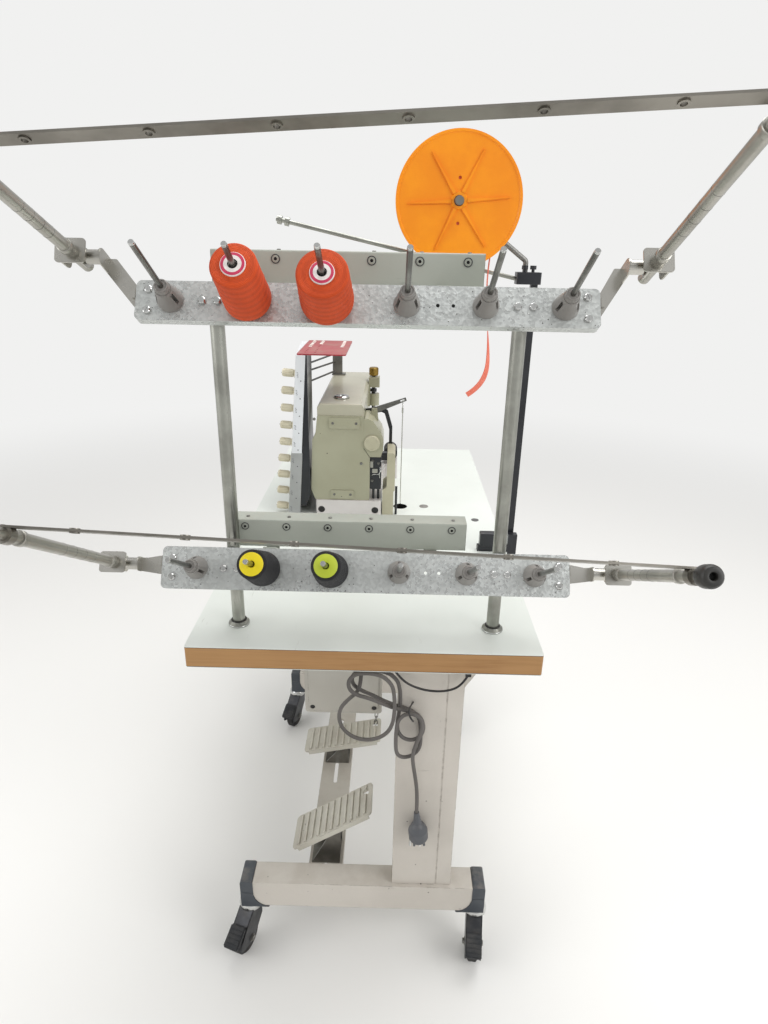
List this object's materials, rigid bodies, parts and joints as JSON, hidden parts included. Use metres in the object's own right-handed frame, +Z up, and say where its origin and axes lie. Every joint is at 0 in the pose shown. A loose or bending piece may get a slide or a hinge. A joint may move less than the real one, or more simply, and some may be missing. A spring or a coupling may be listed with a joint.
{
  "type": "multi-needle sewing machine",
  "caption": "Multi-needle chainstitch sewing machine head on a rolling T-leg table, with tilting thread-guide frames, cone stand, elastic reel and pedals.",
  "frame": {"origin": "on the floor, under the middle of the whole machine without its mains cord and hanging tape", "axes": "+Z up; +Y along the table to the operator's left, the motor end; +X away from the operator"},
  "size_m": [0.845, 1.4904, 1.586],
  "materials": {
    "laminate": "satin laminate with a beech edge",
    "stand_paint": "satin enamel",
    "cap_plastic": "matte, scuffed",
    "fork_steel": "satin, dusty",
    "wheel_rubber": "matte tread",
    "pedal_metal": "satin cast, scuffed",
    "box_plastic": "fine texture",
    "cord_grey": "satin sheath",
    "cord_black": "satin sheath",
    "plug_plastic": "satin",
    "post_steel": "satin, rubbed",
    "deck_steel": "satin, speckled with wear",
    "seat_plastic": "satin",
    "bright_steel": "fine brushed",
    "cone_thread": "wound thread",
    "satin_nickel": "satin, rubbed",
    "black_steel": "satin",
    "reel_plastic": "satin",
    "tape_elastic": "woven",
    "head_paint": "gloss enamel",
    "knob_plastic": "satin",
    "tray_plastic": "translucent sheet",
    "black_parts": "oiled",
    "brass_parts": "turned",
    "knurled_rubber": "ribbed"
  },
  "bodies": {
    "stand": {"table_top": "laminate", "leg_right": "stand_paint", "leg_left": "stand_paint", "foot_caps": "cap_plastic", "cross_beam": "stand_paint", "pedal_rail": "stand_paint", "pedal_brackets": "stand_paint", "control_box": "box_plastic", "mains_cord": "cord_grey", "cord_hank": "cord_grey", "mains_plug": "plug_plastic", "black_cable": "cord_black", "cable_clips": "cap_plastic", "cone_posts": "post_steel", "cone_decks": "deck_steel", "cone_seats": "seat_plastic", "cone_pins": "bright_steel", "thread_cones": "cone_thread", "guide_rails": "deck_steel", "strap_brackets": "deck_steel", "reel_column": "black_steel", "reel_clamp": "post_steel", "reel_rods": "bright_steel", "elastic_tape": "tape_elastic", "machine_bed": "head_paint", "needle_plate": "bright_steel", "arm_casting": "head_paint", "top_lid": "head_paint", "cover_plates": "head_paint", "tension_panel": "head_paint", "tension_knobs": "knob_plastic", "thread_tray": "tray_plastic", "panel_stays": "black_parts", "rear_housing": "head_paint", "drive_box": "knob_plastic", "drive_links": "black_parts", "drive_motor": "black_parts"},
    "upper_frame": {"upper_frame_arms": "satin_nickel", "upper_frame_strip": "satin_nickel"},
    "lower_frame": {"lower_frame_arms": "satin_nickel", "lower_frame_strip": "satin_nickel"},
    "treadle": {"pedal_right": "pedal_metal"},
    "lifter_pedal": {"pedal_left": "pedal_metal"},
    "lifting_chain": {"lift_chain": "bright_steel"},
    "lever": {"lifter_lever": "black_parts"},
    "presser": {"presser_foot": "bright_steel"},
    "needles": {"needle_bar": "bright_steel"},
    "wheel": {"handwheel": "black_parts"},
    "puller": {"puller_roller": "knurled_rubber"},
    "reel": {"reel_discs": "reel_plastic", "tape_roll": "tape_elastic"},
    "pressure_knob": {"pressure_screw": "brass_parts"},
    "swivel_right_front": {"caster_fork_right_front": "fork_steel"},
    "roller_right_front": {"caster_wheel_right_front": "wheel_rubber"},
    "swivel_right_rear": {"caster_fork_right_rear": "fork_steel"},
    "roller_right_rear": {"caster_wheel_right_rear": "wheel_rubber"},
    "swivel_left_front": {"caster_fork_left_front": "fork_steel"},
    "roller_left_front": {"caster_wheel_left_front": "wheel_rubber"},
    "swivel_left_rear": {"caster_fork_left_rear": "fork_steel"},
    "roller_left_rear": {"caster_wheel_left_rear": "wheel_rubber"}
  },
  "joints": [
    {"name": "caster_swivel_right_front", "type": "hinge", "parent": "stand", "child": "swivel_right_front", "pos_m": [-0.236, -0.39981, 0.121], "axis": [0, 0, 1], "continuous": true},
    {"name": "caster_roll_right_front", "type": "hinge", "parent": "swivel_right_front", "child": "roller_right_front", "pos_m": [-0.24626, -0.428, 0.035], "axis": [0.9397, -0.342, 0], "continuous": true},
    {"name": "caster_swivel_right_rear", "type": "hinge", "parent": "stand", "child": "swivel_right_rear", "pos_m": [0.236, -0.39981, 0.121], "axis": [0, 0, 1], "continuous": true},
    {"name": "caster_roll_right_rear", "type": "hinge", "parent": "swivel_right_rear", "child": "roller_right_rear", "pos_m": [0.23286, -0.42964, 0.035], "axis": [0.9945, -0.1045, 0], "continuous": true},
    {"name": "caster_swivel_left_front", "type": "hinge", "parent": "stand", "child": "swivel_left_front", "pos_m": [-0.236, 0.31019, 0.121], "axis": [0, 0, 1], "continuous": true},
    {"name": "caster_roll_left_front", "type": "hinge", "parent": "swivel_left_front", "child": "roller_left_front", "pos_m": [-0.24427, 0.28136, 0.035], "axis": [0.9613, -0.2756, 0], "continuous": true},
    {"name": "caster_swivel_left_rear", "type": "hinge", "parent": "stand", "child": "swivel_left_rear", "pos_m": [0.236, 0.31019, 0.121], "axis": [0, 0, 1], "continuous": true},
    {"name": "caster_roll_left_rear", "type": "hinge", "parent": "swivel_left_rear", "child": "roller_left_rear", "pos_m": [0.23914, 0.28036, 0.035], "axis": [0.9945, 0.1045, 0], "continuous": true},
    {"name": "treadle_tilt", "type": "hinge", "parent": "stand", "child": "treadle", "pos_m": [-0.06, -0.31881, 0.246], "axis": [0, 1, 0], "range_deg": [-8, 20], "stiffness_Nm_per_rad": 12},
    {"name": "lifter_pedal_tilt", "type": "hinge", "parent": "stand", "child": "lifter_pedal", "pos_m": [-0.065, -0.0228, 0.206], "axis": [0, 1, 0], "range_deg": [0, 12], "stiffness_Nm_per_rad": 12},
    {"name": "lifting_chain_pull", "type": "slide", "parent": "stand", "child": "lifting_chain", "axis": [0, 0, 1], "range_m": [-0.01758, 0.0005]},
    {"name": "lever_turn", "type": "hinge", "parent": "stand", "child": "lever", "pos_m": [-0.004, 0.21219, 1.017], "axis": [0, 1, 0], "range_deg": [-0.5, 13.8]},
    {"name": "presser_lift", "type": "slide", "parent": "stand", "child": "presser", "axis": [0, 0, 1], "range_m": [-0.0001, 0.0081]},
    {"name": "needle_bar_slide", "type": "slide", "parent": "stand", "child": "needles", "axis": [0, 0, 1], "range_m": [-0.03, 0]},
    {"name": "upper_frame_tilt", "type": "hinge", "parent": "stand", "child": "upper_frame", "pos_m": [0, -0.39902, 1.36839], "axis": [1, 0, 0], "range_deg": [-15, 30]},
    {"name": "lower_frame_tilt", "type": "hinge", "parent": "stand", "child": "lower_frame", "pos_m": [0, -0.4126, 0.89655], "axis": [1, 0, 0], "range_deg": [-15, 30]},
    {"name": "reel_spin", "type": "hinge", "parent": "stand", "child": "reel", "pos_m": [0.152, -0.0528, 1.47], "axis": [0, 1, 0], "continuous": true},
    {"name": "handwheel_turn", "type": "hinge", "parent": "stand", "child": "wheel", "pos_m": [-0.088, 0.5852, 0.961], "axis": [0, 1, 0], "continuous": true},
    {"name": "puller_spin", "type": "hinge", "parent": "stand", "child": "puller", "pos_m": [0.036, 0.14519, 0.8253], "axis": [0, 1, 0], "continuous": true},
    {"name": "pressure_knob_turn", "type": "hinge", "parent": "stand", "child": "pressure_knob", "pos_m": [-0.015, 0.4602, 0.765], "axis": [0, 0, 1], "continuous": true}
  ],
  "couplings": [
    {"joint": "lifting_chain_pull", "follows": "lifter_pedal_tilt", "m_per_rad": -0.08156},
    {"joint": "lever_turn", "follows": "lifter_pedal_tilt", "ratio": 1.1081},
    {"joint": "presser_lift", "follows": "lifter_pedal_tilt", "m_per_rad": 0.038197},
    {"joint": "puller_spin", "follows": "handwheel_turn", "ratio": -0.1}
  ]
}
